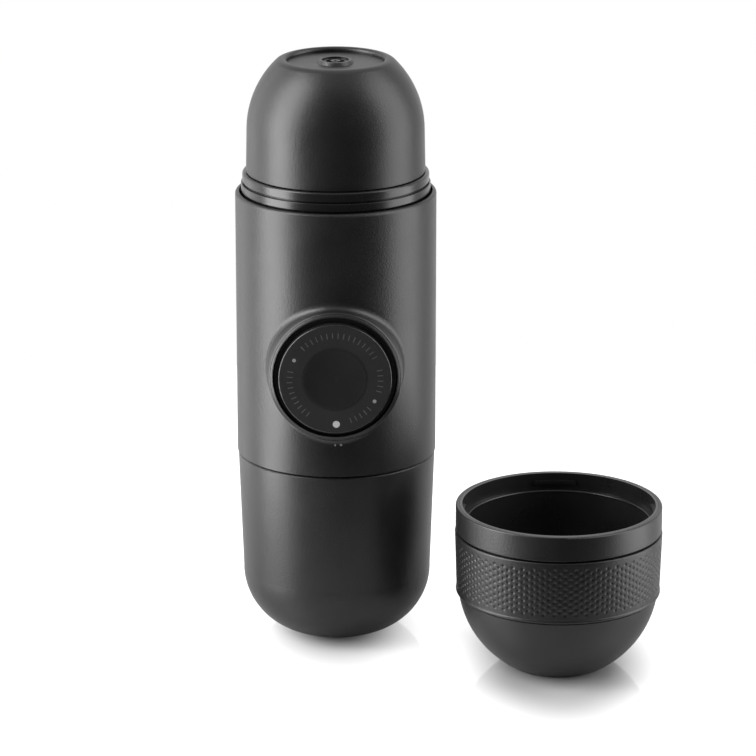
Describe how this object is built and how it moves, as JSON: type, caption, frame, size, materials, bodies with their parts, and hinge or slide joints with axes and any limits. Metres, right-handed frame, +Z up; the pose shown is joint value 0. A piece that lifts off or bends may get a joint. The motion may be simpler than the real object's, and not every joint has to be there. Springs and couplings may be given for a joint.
{
  "type": "handheld manual espresso maker",
  "caption": "Handheld manual espresso maker with a side piston knob and a capsule chamber under a screw-on outlet head, standing on its water tank beside its travel cup.",
  "frame": {"origin": "centre of the water tank's flat foot, on the ground", "axes": "+Z up along the maker's axis; -Y is the front, where the piston knob faces; +X is the side where the cup stands"},
  "size_m": [0.1228, 0.0908, 0.1713],
  "materials": {
    "charcoal_plastic": "fine matte grain",
    "gloss_black_plastic": "polished",
    "knob_plastic": "polished flank with a satin face",
    "grip_plastic": "fine moulded grip texture",
    "frame_plastic": "moulded satin",
    "pale_plastic": "machined satin",
    "silicone": "soft matte",
    "stainless_steel": "pressed and brushed",
    "steel_fasteners": "plain drawn wire and turned steel"
  },
  "bodies": {
    "water_tank": {"tank_shell": "charcoal_plastic"},
    "tank_sealing_ring": {"tank_seal": "silicone"},
    "upper_body": {"body_shell": "charcoal_plastic", "tank_bulkhead": "frame_plastic", "inlet_strainer": "stainless_steel", "vent_tube": "pale_plastic", "vent_valve": "silicone", "bulkhead_screws": "steel_fasteners", "pump_housing": "frame_plastic", "pump_cylinder": "pale_plastic", "pump_end_cap": "frame_plastic", "end_cap_seal": "silicone", "end_cap_screws": "steel_fasteners", "inlet_valve": "silicone", "outlet_valve": "silicone", "brew_chassis": "frame_plastic", "channel_plug": "frame_plastic", "chassis_screws": "steel_fasteners", "injector_plate": "stainless_steel", "chamber_seal": "silicone", "cup_collar": "gloss_black_plastic"},
    "piston": {"piston_rod": "pale_plastic", "piston_seal": "silicone", "return_spring": "steel_fasteners"},
    "piston_knob": {"knob": "knob_plastic", "knob_center_cap": "knob_plastic", "knob_screw": "steel_fasteners"},
    "holder": {"capsule_holder": "frame_plastic"},
    "head_sealing_ring": {"head_gasket": "silicone"},
    "outlet_head": {"outlet_dome": "charcoal_plastic", "pierce_plate": "stainless_steel", "outlet_funnel": "frame_plastic", "spout_nozzle": "charcoal_plastic"},
    "cup": {"cup_shell": "charcoal_plastic", "cup_liner": "gloss_black_plastic", "cup_grip_band": "grip_plastic"}
  },
  "joints": [
    {"name": "body_lift", "type": "slide", "parent": "water_tank", "child": "tank_sealing_ring", "axis": [0, 0, 1], "range_m": [0, 0.06]},
    {"name": "body_turn", "type": "hinge", "parent": "tank_sealing_ring", "child": "upper_body", "pos_m": [0, 0, 0.055], "axis": [0, 0, 1], "range_deg": [0, 270]},
    {"name": "piston_stroke", "type": "slide", "parent": "upper_body", "child": "piston", "axis": [0, -1, 0], "range_m": [0, 0.018]},
    {"name": "knob_turn", "type": "hinge", "parent": "piston", "child": "piston_knob", "pos_m": [0, -0.0343, 0.0859], "axis": [0, 1, 0], "range_deg": [0, 60]},
    {"name": "head_lift", "type": "slide", "parent": "upper_body", "child": "head_sealing_ring", "axis": [0, 0, 1], "range_m": [0, 0.09]},
    {"name": "head_turn", "type": "hinge", "parent": "head_sealing_ring", "child": "outlet_head", "pos_m": [0, 0, 0.151], "axis": [0, 0, 1], "range_deg": [0, 270]},
    {"name": "holder_lift", "type": "slide", "parent": "upper_body", "child": "holder", "axis": [0, 0, 1], "range_m": [0, 0.038]},
    {"name": "cup_lift", "type": "slide", "parent": "water_tank", "child": "cup", "axis": [0, 0, 1], "range_m": [0, 0.08]}
  ],
  "couplings": [
    {"joint": "holder_lift", "follows": "head_lift", "ratio": 0.42}
  ]
}
